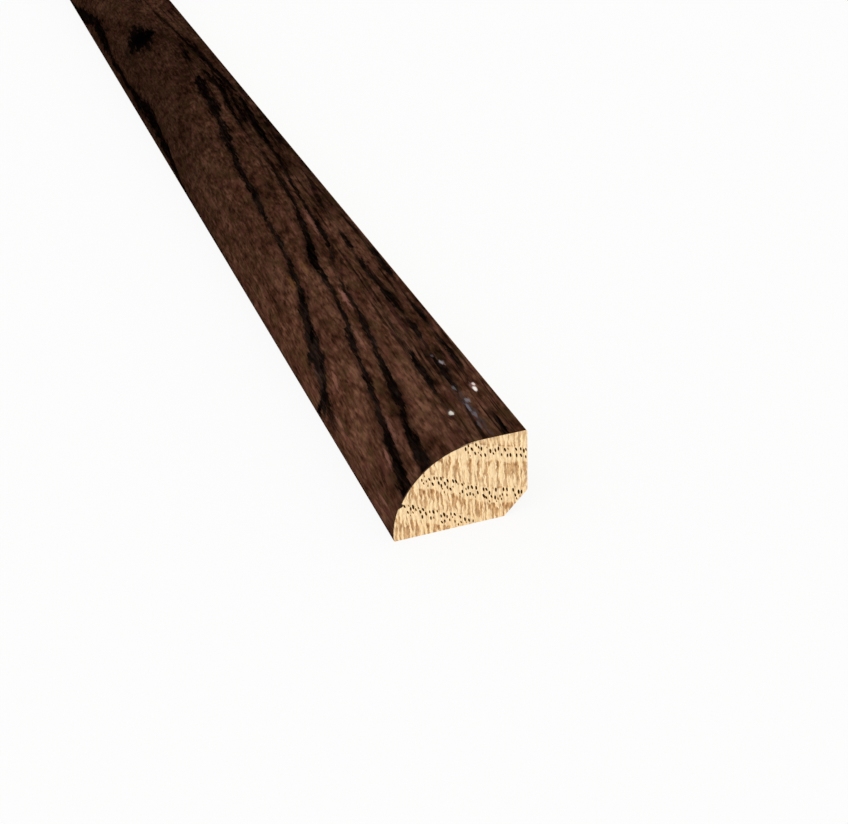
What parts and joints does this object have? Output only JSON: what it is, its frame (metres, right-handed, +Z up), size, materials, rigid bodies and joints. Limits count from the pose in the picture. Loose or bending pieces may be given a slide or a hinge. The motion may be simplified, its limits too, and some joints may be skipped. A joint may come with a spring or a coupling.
{
  "type": "shoe moulding",
  "caption": "Slim stained-wood trim strip with a quarter-round show face, a flat top land and a relieved inner corner, which covers the gap between a floor and a wall.",
  "frame": {"origin": "on the floor, midway along the strip and midway between the toe of the round and the wall face", "axes": "+X along the strip, towards the end that the picture shows; +Y from the toe of the round to the wall face; +Z up"},
  "size_m": [1.9812, 0.019, 0.0127],
  "materials": {
    "stained_oak": "satin"
  },
  "bodies": {
    "root": {"shoe_moulding": "stained_oak"}
  },
  "joints": []
}
